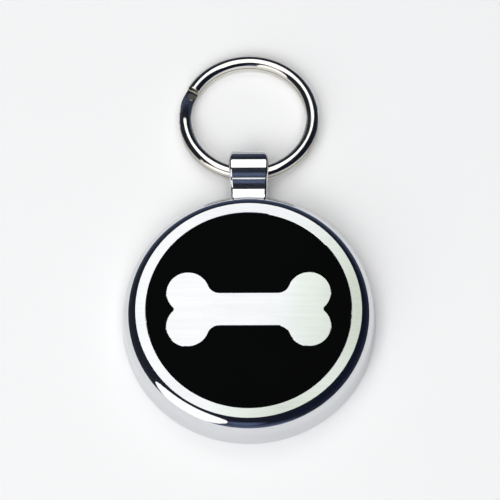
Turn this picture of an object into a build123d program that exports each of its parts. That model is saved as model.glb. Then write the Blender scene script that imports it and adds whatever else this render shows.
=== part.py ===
from build123d import *
import os
from math import asin, atan2, cos, degrees, hypot, radians, sin, sqrt

# A pet id tag: a cast and plated disc with a bone in an enamelled field, a folded
# strap bail soldered into its edge, and a two-turn split ring through the bail.
# The tag lies on its back. The origin is the middle of the back face, +Z is out of
# the front face and +Y points to the ring. Millimetres and degrees.

# Disc
tag_diameter = 32.0
tag_thickness = 5.6
back_edge_radius = 0.5
shoulder_radius = 2.1
shoulder_start_slope = 15.0
rim_inset = 1.87

# Enamelled field and the bone that stands in it
rim_width = 1.28
field_depth = 0.8
enamel_drop = 0.1
enamel_gap = 0.02
metal_edge_chamfer = 0.06
bone_end_margin = 2.55
bone_lobe_radius = 2.72
bone_lobe_spacing = 4.36
bone_shank_width = 4.34
bone_shank_blend = 1.5
bone_notch_radius = 0.3

# Split ring
ring_diameter = 18.0
wire_width = 1.55
wire_height = 1.0
wire_crown_rise = 0.37
wire_contact_rise = 0.03
turn_gap = 0.06
cut_angle = 151.0
cut_gap_angle = 2.5
step_angle = 32.0
step_ease = 0.65
step_lead = 5.0
step_sections = 13
cut_chamfer = 0.08

# Bail
strap_thickness = 0.45
strap_width = 5.05
strap_edge_radius = 0.35
fold_taper = 0.5
neck_taper = 0.2
strap_crease_radius = 2.5
leg_gap = 0.06
eye_play = 0.37
neck_flat = 0.15
tang_length = 3.0
solder_gap = 0.03
ring_seat_gap = 0.19

# Values that follow from the sizes above
tolerance = 0.001
tag_radius = tag_diameter / 2
rim_outer_radius = tag_radius - rim_inset
field_radius = rim_outer_radius - rim_width
bone_length = 2 * (field_radius - bone_end_margin)
field_floor = tag_thickness - field_depth
ring_middle_radius = ring_diameter / 2 - wire_width / 2
turn_pitch = wire_height + turn_gap
half_stack = wire_height + turn_gap / 2
crown_radius = ((wire_width / 2) ** 2 + wire_crown_rise**2) / (2 * wire_crown_rise)
crown_centre = half_stack - crown_radius
wire_side = half_stack - wire_crown_rise

# The eye takes the two turns of wire and their bow across the strap's width
wire_bow = ring_middle_radius - sqrt(ring_middle_radius**2 - (strap_width / 2) ** 2)
eye_bore_radius = hypot(wire_width / 2, half_stack) + wire_bow / 2 + eye_play
eye_radius = eye_bore_radius + strap_thickness
neck_height = 2 * strap_thickness + leg_gap
neck_width = strap_width - 2 * neck_taper

# The neck runs flat from the disc's edge, then each leg sweeps up or down into the eye
crease_run = sqrt((eye_radius + strap_crease_radius) ** 2 - (neck_height / 2 + strap_crease_radius) ** 2)
eye_reach = neck_flat + crease_run
stem_length = eye_reach + tang_length
eye_y = tag_radius + eye_reach
eye_z = tag_thickness / 2

# The ring lies to the tag side of the eye, and its far end rests on the back plane
inner_crease_radius = strap_crease_radius + strap_thickness
crease_drop = inner_crease_radius + leg_gap / 2 - wire_side
seat_run = sqrt((inner_crease_radius + ring_seat_gap) ** 2 - crease_drop**2)
ring_shift = crease_run - seat_run - wire_width / 2
ring_arm = ring_middle_radius - ring_shift
ring_reach = ring_arm + ring_middle_radius
ring_tilt = degrees(
    asin((eye_z - crown_radius) / hypot(ring_reach, crown_centre)) - atan2(crown_centre, ring_reach)
)


def disc_profile():
    """Half section of the disc: flat back, rounded edge, drafted wall, round shoulder, flat face."""
    slope = radians(shoulder_start_slope)
    back_centre = (tag_radius - back_edge_radius, back_edge_radius)
    shoulder_centre = (
        rim_outer_radius - shoulder_radius * sin(slope),
        tag_thickness - shoulder_radius * cos(slope),
    )
    inward = back_centre[0] - shoulder_centre[0]
    upward = shoulder_centre[1] - back_centre[1]
    lean = atan2(inward, upward)
    draft = lean + asin((back_edge_radius - shoulder_radius) / hypot(inward, upward))

    def on_arc(centre, radius, angle):
        return (centre[0] + radius * cos(angle), centre[1] + radius * sin(angle))

    back_arc_middle = (draft - radians(90)) / 2
    shoulder_end = radians(90) - slope
    outline = [
        Line((0, 0), (back_centre[0], 0)),
        ThreePointArc(
            (back_centre[0], 0),
            on_arc(back_centre, back_edge_radius, back_arc_middle),
            on_arc(back_centre, back_edge_radius, draft),
        ),
        Line(
            on_arc(back_centre, back_edge_radius, draft),
            on_arc(shoulder_centre, shoulder_radius, draft),
        ),
        ThreePointArc(
            on_arc(shoulder_centre, shoulder_radius, draft),
            on_arc(shoulder_centre, shoulder_radius, (draft + shoulder_end) / 2),
            (rim_outer_radius, tag_thickness),
        ),
        Line((rim_outer_radius, tag_thickness), (0, tag_thickness)),
        Line((0, tag_thickness), (0, 0)),
    ]
    return Plane.XZ * make_face(outline)


def bone_shape(grow):
    """Outline of the bone, made larger all round by grow."""
    lobe_x = bone_length / 2 - bone_lobe_radius
    shape = Rectangle(2 * lobe_x, bone_shank_width + 2 * grow)
    for side in (-1, 1):
        for end in (-1, 1):
            lobe = Circle(bone_lobe_radius + grow)
            shape += Pos(end * lobe_x, side * bone_lobe_spacing / 2) * lobe
    notches = shape.vertices().filter_by(lambda corner: abs(corner.Y) < bone_lobe_radius / 4)
    shape = fillet(notches, bone_notch_radius - grow)
    inner_corners = shape.vertices().filter_by(
        lambda corner: abs(abs(corner.Y) - bone_shank_width / 2 - grow) < tolerance
        and abs(corner.X) < lobe_x
    )
    return fillet(inner_corners, bone_shank_blend - grow)


def field_shape(gap):
    """The enamelled area round the bone, drawn in by gap at every edge."""
    return Circle(field_radius - gap) - bone_shape(gap)


def neck_block(gap):
    """The space that the strap's two legs fill, larger all round by gap, from the tang's end outwards."""
    section = RectangleRounded(
        neck_width + 2 * gap, neck_height + 2 * gap, strap_edge_radius + gap
    )
    inner_end = tag_radius - tang_length - gap
    outward = Plane(origin=(0, inner_end, eye_z), x_dir=(1, 0, 0), z_dir=(0, 1, 0))
    return extrude(outward * section, stem_length)


def make_tag_body():
    body = revolve(disc_profile(), Axis.Z)
    body -= extrude(Pos(0, 0, field_floor) * field_shape(0), 2 * field_depth)
    face_edges = body.edges().group_by(Axis.Z)[-1]
    field_edges = face_edges.filter_by(lambda edge: edge.bounding_box().max.X < rim_outer_radius - tolerance)
    body = chamfer(field_edges, metal_edge_chamfer)
    return body - neck_block(solder_gap)


def make_enamel_field():
    floor = field_floor + enamel_gap
    return extrude(Pos(0, 0, floor) * field_shape(enamel_gap), tag_thickness - enamel_drop - floor)


def keyhole(radius, stem_height, crease_radius):
    """A round eye with a stem towards the tag, the corners between them swept out."""
    shape = Circle(radius) + Pos(-stem_length / 2, 0) * Rectangle(stem_length, stem_height)
    creases = shape.vertices().filter_by(lambda corner: corner.X > tolerance - stem_length)
    return fillet(creases, crease_radius)


def strap_outline():
    """The folded strip seen from the front: widest at the eye, drawn in to the neck and the fold."""
    half = strap_width / 2
    neck_half = neck_width / 2
    tang_end = eye_y - stem_length
    fold = eye_y + eye_radius
    right = [
        Line((neck_half, tang_end), (neck_half, tag_radius)),
        Spline((neck_half, tag_radius), (half, eye_y), tangents=[(0, 1), (0, 1)]),
        TangentArc((half, eye_y), (half - fold_taper, fold), tangent=(0, 1)),
    ]
    outline = right + [mirror(edge, Plane.YZ) for edge in right]
    outline.append(Line((-neck_half, tang_end), (neck_half, tang_end)))
    outline.append(Line((fold_taper - half, fold), (half - fold_taper, fold)))
    return make_face(outline)


def make_bail_strap():
    """One strip folded round the eye, with its two legs pressed together as the neck and tang."""
    across = Plane(origin=(0, eye_y, eye_z), x_dir=(0, 1, 0), z_dir=(1, 0, 0))
    outside = across * keyhole(eye_radius, neck_height, strap_crease_radius)
    inside = across * keyhole(eye_bore_radius, leg_gap, inner_crease_radius)
    strap = extrude(outside, strap_width, both=True)
    strap &= extrude(strap_outline(), 2 * tag_thickness, both=True)
    sides = strap.faces().filter_by(lambda face: abs(face.center().X) > strap_width / 4)
    strap = fillet(sides.edges().filter_by(Axis.Z, reverse=True), strap_edge_radius)
    return strap - extrude(inside, strap_width, both=True)


def wire_section(angle, middle, lower_rise, upper_rise):
    """Section of the ring's wire in the plane through the ring's axis at this angle."""
    inner = ring_middle_radius - wire_width / 2
    outer = ring_middle_radius + wire_width / 2
    foot = middle - wire_height / 2
    top = middle + wire_height / 2
    outline = [
        ThreePointArc(
            (inner, foot + lower_rise), (ring_middle_radius, foot), (outer, foot + lower_rise)
        ),
        Line((outer, foot + lower_rise), (outer, top - upper_rise)),
        ThreePointArc(
            (outer, top - upper_rise), (ring_middle_radius, top), (inner, top - upper_rise)
        ),
        Line((inner, top - upper_rise), (inner, foot + lower_rise)),
    ]
    turn = radians(angle)
    plane = Plane(origin=(0, 0, 0), x_dir=(cos(turn), sin(turn), 0), z_dir=(sin(turn), -cos(turn), 0))
    return plane * make_face(outline)


def ring_turn(start_angle, middle, lower_rise, upper_rise, cut_end_angle):
    """One flat turn of wire, anticlockwise from its start, with its free end's edges broken."""
    section = wire_section(start_angle, middle, lower_rise, upper_rise)
    turn = revolve(section, Axis.Z, revolution_arc=360 - step_angle - step_lead - cut_gap_angle)
    direction = radians(cut_end_angle)
    cut_middle = Vector(ring_middle_radius * cos(direction), ring_middle_radius * sin(direction), middle)
    cut_face = turn.faces().sort_by(lambda face: (face.center() - cut_middle).length)[0]
    return chamfer(cut_face.edges(), cut_chamfer)


def make_split_ring():
    """Two flat turns of one wire, joined by the step where it climbs from the lower to the upper."""
    step_start = cut_angle + cut_gap_angle
    step_end = step_start + step_angle
    upper_start = step_end + step_lead - 360
    upper = ring_turn(upper_start, turn_pitch / 2, wire_contact_rise, wire_crown_rise, cut_angle)
    lower_start = step_end + cut_gap_angle - 360
    lower = ring_turn(lower_start, -turn_pitch / 2, wire_crown_rise, wire_contact_rise, lower_start)
    sections = []
    for number in range(step_sections):
        angle = step_start - step_lead + (step_angle + 2 * step_lead) * number / (step_sections - 1)
        share = min(max((angle - step_start) / step_angle, 0), 1)
        # With step_ease below 1 the wire climbs soon after the cut and levels out slowly
        climb = (1 - cos(radians(180 * share**step_ease))) / 2
        sections.append(
            wire_section(
                angle,
                turn_pitch * climb - turn_pitch / 2,
                wire_crown_rise + (wire_contact_rise - wire_crown_rise) * climb,
                wire_contact_rise + (wire_crown_rise - wire_contact_rise) * climb,
            )
        )
    ring = upper + loft(sections) + lower
    lean = radians(ring_tilt)
    centre = (0, eye_y + ring_arm * cos(lean), eye_z - ring_arm * sin(lean))
    return Pos(*centre) * Rot(-ring_tilt, 0, 0) * ring


parts = {
    "tag_body": make_tag_body(),
    "enamel_field": make_enamel_field(),
    "bail_strap": make_bail_strap(),
    "split_ring": make_split_ring(),
}

os.makedirs("parts", exist_ok=True)
for name, part in parts.items():
    part.label = name
    export_step(part, f"parts/{name}.step")

print(f"eye axis at y {eye_y:.3f}, z {eye_z:.3f}, bore radius {eye_bore_radius:.3f}")
print(f"ring arm {ring_arm:.3f}, tilt {ring_tilt:.3f} degrees, turns {turn_gap:.2f} mm apart")
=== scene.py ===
from math import cos, pi, radians, sin, tan

import bpy
from mathutils import Matrix, Vector


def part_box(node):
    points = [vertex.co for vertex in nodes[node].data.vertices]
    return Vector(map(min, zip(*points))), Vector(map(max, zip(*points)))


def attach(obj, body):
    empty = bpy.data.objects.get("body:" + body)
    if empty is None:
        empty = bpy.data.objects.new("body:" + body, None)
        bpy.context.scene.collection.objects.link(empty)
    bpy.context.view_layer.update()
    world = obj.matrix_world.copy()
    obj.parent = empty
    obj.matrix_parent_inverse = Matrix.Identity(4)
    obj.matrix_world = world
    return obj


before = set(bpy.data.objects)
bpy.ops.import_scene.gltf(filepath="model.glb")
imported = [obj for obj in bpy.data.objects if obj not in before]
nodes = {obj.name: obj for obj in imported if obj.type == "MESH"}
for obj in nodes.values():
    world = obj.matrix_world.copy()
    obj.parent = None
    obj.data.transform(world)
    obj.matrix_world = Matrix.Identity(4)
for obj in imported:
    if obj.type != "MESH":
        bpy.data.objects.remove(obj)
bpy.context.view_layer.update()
scene = bpy.context.scene
MM = 0.001
UP = (0, 0, 1)

# Places taken from the frame, in metres
body_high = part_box("tag_body")[1]
ring_low, ring_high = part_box("split_ring")
face_height = body_high.z
ring_centre = (ring_low + ring_high) / 2

# Camera, from the photograph's 500 by 500 frame
FRAME_PIXELS = 500
FOCAL_PIXELS = 2809
FACE_CENTRE_PIXEL = (248.6, 309.0)
CAMERA_DISTANCE = 0.350
CAMERA_ELEVATION = radians(71.1)
CAMERA_AZIMUTH = radians(1.8)
SENSOR = 36.0
CLIP_START = 0.01
CLIP_END = 20.0

# Softbox over the tag, its edges given as angles above the back horizon seen from the tag
SOFTBOX_HEIGHT = 0.6
SOFTBOX_BACK_ANGLE = radians(50)
SOFTBOX_FRONT_ANGLE = radians(102)
SOFTBOX_LEFT = -0.31
SOFTBOX_RIGHT = 0.23
SOFTBOX_WHITE = (1.78, 1.78, 1.77, 1)
SOFTBOX_PALE = (1.43, 1.54, 1.37, 1)
SOFTBOX_SHADE = (1.00, 1.07, 0.85, 1)
SOFTBOX_PATCHES = [((0.070, 0.205), 0.067), ((0.010, 0.158), 0.033)]
PATCH_PALE_EDGE = 0.011
PATCH_SHADE_EDGE = 0.031

# Oval white reflector at the front left, its foot cut off by the floor
REFLECTOR_DISTANCE = 0.5
REFLECTOR_AZIMUTH = radians(-41)
REFLECTOR_HALF_WIDTH = 0.25
REFLECTOR_HALF_HEIGHT = 0.40
REFLECTOR_FOOT = -0.05
REFLECTOR_STRENGTH = 1.4
REFLECTOR_CORNERS = 48

# Fill lamp that lights the floor evenly
FILL_PLACE = (-0.16, -0.75, 1.25)
FILL_SIZE = 1.2
FILL_POWER = 15.0

# Dark studio round the tag: greyer at the left, bluer at the right, paler at the horizon
STUDIO_LEFT = (0.0145, 0.017, 0.025, 1)
STUDIO_RIGHT = (0.0055, 0.008, 0.021, 1)
STUDIO_TURN = radians(45)
HORIZON_FRONT = (0.125, 0.155, 0.250, 1)
HORIZON_BACK = (0.080, 0.105, 0.175, 1)
HORIZON_SIDE = (0.026, 0.030, 0.046, 1)
HORIZON_FRONT_SPREAD = radians(37)
HORIZON_BACK_SPREAD = radians(72)
HORIZON_TOP = radians(37)
GLOW_COLOUR = (0.095, 0.125, 0.225, 1)
GLOW_ELEVATION = radians(32)
GLOW_AZIMUTH = radians(-4)
GLOW_WIDTH = radians(15)

# Floor of pale card
FLOOR_SIZE = 6.0
FLOOR_COLOUR = (0.93, 0.93, 0.93, 1)
FLOOR_TOOTH_SCALE = 1500.0
FLOOR_TOOTH_DEPTH = 0.002 * MM

# Solder bead round the bail's neck where it enters the tag
NECK_WIDTH = 4.65 * MM
NECK_HEIGHT = 0.96 * MM
NECK_CORNER = 0.35 * MM
BEAD_RADIUS = 0.16 * MM
BEAD_OFFSET = 0.06 * MM
BEAD_CORNER_STEPS = 8
BEAD_SIDES = 12

# All finishes: the part of a noise's range that counts, and how far it is broken up
NOISE_LOW = 0.3
NOISE_HIGH = 0.7
NOISE_DETAIL = 3.0
LINE_DETAIL = 2.0
HAZE_ROUGHNESS = 0.68
HAZE_SPREAD = 0.5

# Chrome plating of the casting and the strip, each roughness from its smoothest to its dullest
CHROME_LIGHT = (0.75, 0.76, 0.775, 1)
CHROME_DARK = (0.70, 0.71, 0.73, 1)
CHROME_EDGE = (0.88, 0.885, 0.895, 1)
CLOUD_SCALE = 90.0
SCRATCH_SCALES = (260.0, 5200.0, 2600.0)
SCUFF_STARTS = 0.62
SCUFF_FULL = 0.78
SCUFF_ROUGHNESS = 0.05
POLISH_DEPTH = 0.002 * MM
CASTING_ROUGHNESS = (0.03, 0.06)
CASTING_HAZE = 0.006
CASTING_LINES = (120.0, 2600.0, 600.0)
STRIP_ROUGHNESS = (0.04, 0.08)
STRIP_HAZE = 0.045
STRIP_LINES = (3000.0, 300.0, 300.0)

# Satin that lapping leaves on the casting's level face, and none on the strip
FACE_SATIN = 0.40
STRIP_SATIN = 0.0
LAPPED_TILT = radians(8)
STREAK_SPREAD = 0.07

# Nickel plated wire; its cut faces painted near black, painted shade over the bare steel ends
NICKEL_LIGHT = (0.76, 0.742, 0.695, 1)
NICKEL_DARK = (0.71, 0.693, 0.65, 1)
NICKEL_EDGE = (0.60, 0.58, 0.54, 1)
WIRE_ROUGHNESS = (0.05, 0.13)
WIRE_HAZE = 0.012
WIRE_PATCH_SCALE = 420.0
WIRE_LINES_ALONG = 2.0
WIRE_LINES_ACROSS = 7000.0
WIRE_LINE_DEPTH = 0.0015 * MM
CUT_FACE_SHADE = (0.075, 0.075, 0.075, 1)
CUT_FACE_TILT = radians(35)
CUT_FACE_FULL = radians(25)

# Black enamel
ENAMEL_DARK = (0.0006, 0.0009, 0.0008, 1)
ENAMEL_LIGHT = (0.0014, 0.0018, 0.0016, 1)
ENAMEL_ROUGHNESS = (0.10, 0.18)
ENAMEL_SPECULAR = 0.012
ENAMEL_CLOUD_SCALE = 160.0
PEEL_SCALE = 900.0
PEEL_DETAIL = 1.0
PEEL_DEPTH = 0.004 * MM
PINHOLE_SCALE = 3200.0
PINHOLE_DETAIL = 0.0
PINHOLE_STARTS = 0.78
PINHOLE_FULL = 0.86
PINHOLE_ROUGHNESS = 0.3

# Solder
SOLDER_LIGHT = (0.62, 0.62, 0.61, 1)
SOLDER_DARK = (0.40, 0.40, 0.41, 1)
SOLDER_ROUGHNESS = (0.22, 0.40)
SOLDER_LUMP_SCALE = 2600.0
SOLDER_LUMP_DEPTH = 0.02 * MM


class Tree:
    """A material's or the world's node tree, with short ways to add and join nodes."""

    def __init__(self, owner):
        owner.use_nodes = True
        self.tree = owner.node_tree
        self.tree.nodes.clear()

    def add(self, kind, settings=None, sockets=None):
        node = self.tree.nodes.new(kind)
        for name, value in (settings or {}).items():
            setattr(node, name, value)
        for name, value in (sockets or {}).items():
            if isinstance(value, bpy.types.NodeSocket):
                self.tree.links.new(value, node.inputs[name])
            else:
                node.inputs[name].default_value = value
        return node

    def math(self, operation, first, second=0.0):
        return self.add("ShaderNodeMath", {"operation": operation}, {0: first, 1: second}).outputs[0]

    def vector(self, operation, first, second=(0, 0, 0)):
        """A vector made from one or two others."""
        node = self.add("ShaderNodeVectorMath", {"operation": operation}, {0: first, 1: second})
        return node.outputs["Vector"]

    def measure(self, operation, first, second=(0, 0, 0)):
        """A number found from one or two vectors."""
        node = self.add("ShaderNodeVectorMath", {"operation": operation}, {0: first, 1: second})
        return node.outputs["Value"]

    def parts(self, vector):
        """The X, Y and Z of a vector."""
        return self.add("ShaderNodeSeparateXYZ", None, {0: vector}).outputs

    def mix_colour(self, factor, first, second):
        """Two colours mixed: the node's colour sockets are inputs 6 and 7 and output 2."""
        node = self.add("ShaderNodeMix", {"data_type": "RGBA"}, {0: factor, 6: first, 7: second})
        return node.outputs[2]

    def ramp(self, value, low, high, to_low=0.0, to_high=1.0):
        node = self.add(
            "ShaderNodeMapRange",
            {"interpolation_type": "SMOOTHSTEP"},
            {"Value": value, "From Min": low, "From Max": high, "To Min": to_low, "To Max": to_high},
        )
        return node.outputs[0]

    def spread(self, noise, to_low=0.0, to_high=1.0):
        """A noise's middle range stretched over the given values."""
        return self.ramp(noise, NOISE_LOW, NOISE_HIGH, to_low, to_high)

    def noise(self, vector, scale=1.0, detail=NOISE_DETAIL):
        node = self.add("ShaderNodeTexNoise", None, {"Vector": vector, "Scale": scale, "Detail": detail})
        return node.outputs["Fac"]

    def object_place(self):
        return self.add("ShaderNodeTexCoord").outputs["Object"]

    def object_normal(self):
        return self.add("ShaderNodeTexCoord").outputs["Normal"]

    def flatness(self, most_tilt):
        """One on level faces that look up, none on faces tilted by more than the given angle."""
        return self.ramp(self.parts(self.object_normal())["Z"], cos(most_tilt), 1.0)

    def bump(self, height, depth):
        sockets = {"Height": height, "Distance": depth, "Strength": 1.0}
        return self.add("ShaderNodeBump", None, sockets).outputs[0]

    def metal(self, tone, roughness, edge, normal):
        sockets = {
            "Base Color": tone,
            "Metallic": 1.0,
            "Roughness": roughness,
            "Specular Tint": edge,
            "Normal": normal,
        }
        return self.add("ShaderNodeBsdfPrincipled", None, sockets).outputs[0]

    def hazed_metal(self, tone, roughness, edge, normal, haze):
        """Bright metal with a share of dull haze over it."""
        mirror = self.metal(tone, roughness, edge, normal)
        bloom = self.metal(tone, HAZE_ROUGHNESS, edge, normal)
        return self.add("ShaderNodeMixShader", None, {0: haze, 1: mirror, 2: bloom}).outputs[0]

    def surface(self, shader):
        self.add("ShaderNodeOutputMaterial", None, {"Surface": shader})


def new_material(name):
    material = bpy.data.materials.new(name)
    return material, Tree(material)


def link_mesh(name, vertices, faces, material):
    mesh = bpy.data.meshes.new(name)
    mesh.from_pydata(vertices, [], faces)
    mesh.update()
    mesh.materials.append(material)
    piece = bpy.data.objects.new(name, mesh)
    scene.collection.objects.link(piece)
    return piece


def towards(azimuth, elevation):
    """Direction seen from the tag: azimuth is counted from the front to the right."""
    level = cos(elevation)
    return Vector((sin(azimuth) * level, -cos(azimuth) * level, sin(elevation)))


# Finishes of the four pieces


def plated_metal(name, roughness, haze, satin, lines):
    """Bright chrome: cloudy tone, scuffs, polishing lines, some haze, and satin on level faces."""
    material, tree = new_material(name)
    place = tree.object_place()
    cloud = tree.noise(place, CLOUD_SCALE)
    scratches = tree.noise(tree.vector("MULTIPLY", place, SCRATCH_SCALES), detail=LINE_DETAIL)
    polish = tree.noise(tree.vector("MULTIPLY", place, lines), detail=LINE_DETAIL)
    tone = tree.mix_colour(tree.spread(cloud), CHROME_LIGHT, CHROME_DARK)
    scuffs = tree.ramp(scratches, SCUFF_STARTS, SCUFF_FULL, 0.0, SCUFF_ROUGHNESS)
    gloss = tree.math("ADD", tree.spread(cloud, *roughness), scuffs)
    streaks = tree.spread(polish, (1 - STREAK_SPREAD) * satin, (1 + STREAK_SPREAD) * satin)
    lapped = tree.math("MULTIPLY", tree.flatness(LAPPED_TILT), streaks)
    bloom = tree.spread(cloud, (1 - HAZE_SPREAD) * haze, (1 + HAZE_SPREAD) * haze)
    share = tree.math("ADD", bloom, lapped)
    normal = tree.bump(polish, POLISH_DEPTH)
    tree.surface(tree.hazed_metal(tone, gloss, CHROME_EDGE, normal, share))
    return material


def drawn_wire():
    """Nickel plated wire: lines run round the ring, with duller patches, and cut faces painted near
    black as painted shade.
    """
    material, tree = new_material("plated_wire")
    from_centre = tree.vector("SUBTRACT", tree.object_place(), ring_centre)
    parts = tree.parts(from_centre)
    turn = tree.math("ARCTAN2", parts["Y"], parts["X"])
    radius = tree.measure("LENGTH", from_centre)
    along = {
        "X": tree.math("MULTIPLY", turn, WIRE_LINES_ALONG),
        "Y": tree.math("MULTIPLY", radius, WIRE_LINES_ACROSS),
        "Z": parts["Z"],
    }
    lines = tree.noise(tree.add("ShaderNodeCombineXYZ", None, along).outputs[0], detail=LINE_DETAIL)
    patches = tree.noise(from_centre, WIRE_PATCH_SCALE)
    plating = tree.mix_colour(tree.spread(patches), NICKEL_LIGHT, NICKEL_DARK)
    forward = tree.vector("NORMALIZE", tree.vector("CROSS_PRODUCT", UP, from_centre))
    facing = tree.math("ABSOLUTE", tree.measure("DOT_PRODUCT", tree.object_normal(), forward))
    # Faces that look along the wire, the cut ends, get painted shade: a near black tone standing in for
    # their shadow
    cut_shade_mask = tree.ramp(facing, cos(CUT_FACE_TILT), cos(CUT_FACE_FULL))
    tone = tree.mix_colour(cut_shade_mask, plating, CUT_FACE_SHADE)
    gloss = tree.spread(patches, *WIRE_ROUGHNESS)
    normal = tree.bump(lines, WIRE_LINE_DEPTH)
    tree.surface(tree.hazed_metal(tone, gloss, NICKEL_EDGE, normal, WIRE_HAZE))
    return material


def grey_solder():
    """Wiped tin solder: uneven grey with a soft gloss and small lumps."""
    material, tree = new_material("grey_solder")
    lumps = tree.noise(tree.object_place(), SOLDER_LUMP_SCALE)
    tone = tree.mix_colour(tree.spread(lumps), SOLDER_LIGHT, SOLDER_DARK)
    gloss = tree.spread(lumps, *SOLDER_ROUGHNESS)
    tree.surface(tree.metal(tone, gloss, SOLDER_LIGHT, tree.bump(lumps, SOLDER_LUMP_DEPTH)))
    return material


def black_enamel():
    """Fired black enamel: near black, with a faint orange peel and a few pinholes in the gloss."""
    material, tree = new_material("black_enamel")
    place = tree.object_place()
    cloud = tree.noise(place, ENAMEL_CLOUD_SCALE)
    peel = tree.noise(place, PEEL_SCALE, PEEL_DETAIL)
    spots = tree.noise(place, PINHOLE_SCALE, PINHOLE_DETAIL)
    pinholes = tree.ramp(spots, PINHOLE_STARTS, PINHOLE_FULL, 0.0, PINHOLE_ROUGHNESS)
    sockets = {
        "Base Color": tree.mix_colour(cloud, ENAMEL_DARK, ENAMEL_LIGHT),
        "Roughness": tree.math("ADD", tree.spread(cloud, *ENAMEL_ROUGHNESS), pinholes),
        "Specular IOR Level": ENAMEL_SPECULAR,
        "Normal": tree.bump(peel, PEEL_DEPTH),
    }
    tree.surface(tree.add("ShaderNodeBsdfPrincipled", None, sockets).outputs[0])
    return material


def dress_pieces():
    finishes = {
        "tag_body": plated_metal(
            "plated_casting", CASTING_ROUGHNESS, CASTING_HAZE, FACE_SATIN, CASTING_LINES
        ),
        "enamel_field": black_enamel(),
        "bail_strap": plated_metal(
            "plated_strip", STRIP_ROUGHNESS, STRIP_HAZE, STRIP_SATIN, STRIP_LINES
        ),
        "split_ring": drawn_wire(),
    }
    for node, material in finishes.items():
        nodes[node].data.materials.clear()
        nodes[node].data.materials.append(material)


# Detail that the solids leave out


def neck_outline(grow):
    """Points and outward directions round the neck's rounded section, across X and Z."""
    reach_x = NECK_WIDTH / 2 - NECK_CORNER
    reach_z = NECK_HEIGHT / 2 - NECK_CORNER
    outline = []
    for quarter, (side_x, side_z) in enumerate([(1, 1), (-1, 1), (-1, -1), (1, -1)]):
        for step in range(BEAD_CORNER_STEPS + 1):
            angle = pi / 2 * (quarter + step / BEAD_CORNER_STEPS)
            outward = Vector((cos(angle), 0, sin(angle)))
            corner = Vector((side_x * reach_x, 0, face_height / 2 + side_z * reach_z))
            outline.append((corner + outward * (NECK_CORNER + grow), outward))
    return outline


def make_solder_bead():
    """A fine bead of solder that follows the neck where it meets the tag's wall."""
    vertices = []
    faces = []
    outline = neck_outline(BEAD_OFFSET)
    beyond_wall = 2 * body_high.y
    for number, (place, outward) in enumerate(outline):
        start = Vector((place.x, beyond_wall, place.z))
        wall = nodes["tag_body"].ray_cast(start, Vector((0, -1, 0)))[1]
        following = (number + 1) % len(outline)
        for side in range(BEAD_SIDES):
            turn = 2 * pi * side / BEAD_SIDES
            vertices.append(wall + (outward * cos(turn) + Vector((0, sin(turn), 0))) * BEAD_RADIUS)
            next_side = (side + 1) % BEAD_SIDES
            faces.append((
                number * BEAD_SIDES + side,
                number * BEAD_SIDES + next_side,
                following * BEAD_SIDES + next_side,
                following * BEAD_SIDES + side,
            ))
    bead = link_mesh("solder_bead", vertices, faces, grey_solder())
    for face in bead.data.polygons:
        face.use_smooth = True
    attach(bead, "tag")


# Studio


def make_camera():
    data = bpy.data.cameras.new("photo_camera")
    data.sensor_width = SENSOR
    data.lens = SENSOR * FOCAL_PIXELS / FRAME_PIXELS
    data.clip_start = CLIP_START
    data.clip_end = CLIP_END
    data.shift_x = (FRAME_PIXELS / 2 - FACE_CENTRE_PIXEL[0]) / FRAME_PIXELS
    data.shift_y = (FACE_CENTRE_PIXEL[1] - FRAME_PIXELS / 2) / FRAME_PIXELS
    camera = bpy.data.objects.new("photo_camera", data)
    scene.collection.objects.link(camera)
    back = towards(CAMERA_AZIMUTH, CAMERA_ELEVATION)
    right = (-back).cross(Vector((0, 1, 0))).normalized()
    up = back.cross(right)
    camera.location = Vector((0, 0, face_height)) + back * CAMERA_DISTANCE
    camera.rotation_mode = "QUATERNION"
    camera.rotation_quaternion = Matrix((right, up, back)).transposed().to_quaternion()
    scene.camera = camera


def make_floor():
    """A wide sheet of pale card with a fine tooth."""
    material, tree = new_material("pale_floor")
    tooth = tree.noise(tree.object_place(), FLOOR_TOOTH_SCALE)
    card = {"Color": FLOOR_COLOUR, "Normal": tree.bump(tooth, FLOOR_TOOTH_DEPTH)}
    tree.surface(tree.add("ShaderNodeBsdfDiffuse", None, card).outputs[0])
    half = FLOOR_SIZE / 2
    corners = [(-half, -half, 0), (half, -half, 0), (half, half, 0), (-half, half, 0)]
    link_mesh("floor", corners, [(0, 1, 2, 3)], material)


def glowing_panel(name, corners, material):
    panel = link_mesh(name, corners, [tuple(range(len(corners)))], material)
    panel.visible_camera = False
    panel.visible_shadow = False


def make_softbox():
    """A large overhead softbox with two duller patches, which the right of the tag's face mirrors."""
    material, tree = new_material("softbox_cloth")
    place = tree.object_place()
    inside = 0.0
    for (x, y), radius in SOFTBOX_PATCHES:
        away = tree.measure("DISTANCE", place, (x, y, SOFTBOX_HEIGHT))
        inside = tree.math("MAXIMUM", inside, tree.math("SUBTRACT", radius, away))
    shade = tree.ramp(inside, PATCH_PALE_EDGE, PATCH_SHADE_EDGE)
    patch = tree.mix_colour(shade, SOFTBOX_PALE, SOFTBOX_SHADE)
    cloth = tree.mix_colour(tree.ramp(inside, 0.0, PATCH_PALE_EDGE), SOFTBOX_WHITE, patch)
    tree.surface(tree.add("ShaderNodeEmission", None, {"Color": cloth}).outputs[0])
    back = SOFTBOX_HEIGHT / tan(SOFTBOX_BACK_ANGLE)
    front = SOFTBOX_HEIGHT / tan(SOFTBOX_FRONT_ANGLE)
    corners = [
        (SOFTBOX_LEFT, front, SOFTBOX_HEIGHT),
        (SOFTBOX_LEFT, back, SOFTBOX_HEIGHT),
        (SOFTBOX_RIGHT, back, SOFTBOX_HEIGHT),
        (SOFTBOX_RIGHT, front, SOFTBOX_HEIGHT),
    ]
    glowing_panel("softbox", corners, material)


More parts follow.
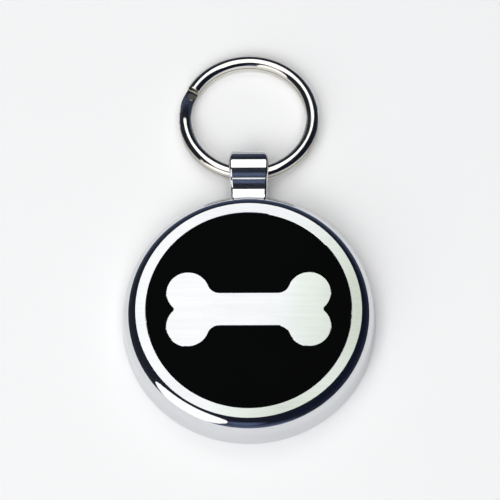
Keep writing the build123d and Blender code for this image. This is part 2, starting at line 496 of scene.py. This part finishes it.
def make_reflector():
    """An oval white reflector at the front left, seen as a bright streak on the tag's shoulder."""
    material, tree = new_material("reflector_glow")
    tree.surface(tree.add("ShaderNodeEmission", None, {"Strength": REFLECTOR_STRENGTH}).outputs[0])
    outward = towards(REFLECTOR_AZIMUTH, 0)
    sideways = Vector(UP).cross(outward)
    middle = outward * REFLECTOR_DISTANCE + Vector((0, 0, REFLECTOR_FOOT + REFLECTOR_HALF_HEIGHT))
    corners = []
    for number in range(REFLECTOR_CORNERS):
        turn = 2 * pi * number / REFLECTOR_CORNERS
        across = sideways * (REFLECTOR_HALF_WIDTH * cos(turn))
        corners.append(middle + across + Vector((0, 0, REFLECTOR_HALF_HEIGHT * sin(turn))))
    glowing_panel("reflector", corners, material)


def make_fill():
    lamp = bpy.data.lights.new("fill", "AREA")
    lamp.size = FILL_SIZE
    lamp.energy = FILL_POWER
    fill = bpy.data.objects.new("fill", lamp)
    fill.location = FILL_PLACE
    fill.rotation_euler = (-Vector(FILL_PLACE)).to_track_quat("-Z", "Y").to_euler()
    fill.visible_glossy = False
    scene.collection.objects.link(fill)


def make_world():
    """A dark studio, lighter towards the horizon, with a faint glow in front of the tag."""
    world = bpy.data.worlds.new("studio")
    scene.world = world
    tree = Tree(world)
    direction = tree.add("ShaderNodeTexCoord").outputs["Generated"]
    parts = tree.parts(direction)
    front = tree.ramp(parts["Y"], -1.0, -cos(HORIZON_FRONT_SPREAD))
    back = tree.ramp(parts["Y"], cos(HORIZON_BACK_SPREAD), 1.0)
    horizon = tree.mix_colour(front, HORIZON_FRONT, HORIZON_SIDE)
    horizon = tree.mix_colour(back, horizon, HORIZON_BACK)
    right = tree.ramp(parts["X"], -sin(STUDIO_TURN), sin(STUDIO_TURN))
    dark = tree.mix_colour(right, STUDIO_LEFT, STUDIO_RIGHT)
    colour = tree.mix_colour(tree.ramp(parts["Z"], 0.0, sin(HORIZON_TOP)), horizon, dark)
    nearness = tree.measure("DOT_PRODUCT", direction, towards(GLOW_AZIMUTH, GLOW_ELEVATION))
    colour = tree.mix_colour(tree.ramp(nearness, cos(GLOW_WIDTH), 1.0), colour, GLOW_COLOUR)
    background = tree.add("ShaderNodeBackground", None, {"Color": colour})
    tree.add("ShaderNodeOutputWorld", None, {"Surface": background.outputs[0]})


dress_pieces()
make_solder_bead()
make_camera()
make_floor()
make_softbox()
make_reflector()
make_fill()
make_world()
scene.view_settings.view_transform = "Standard"
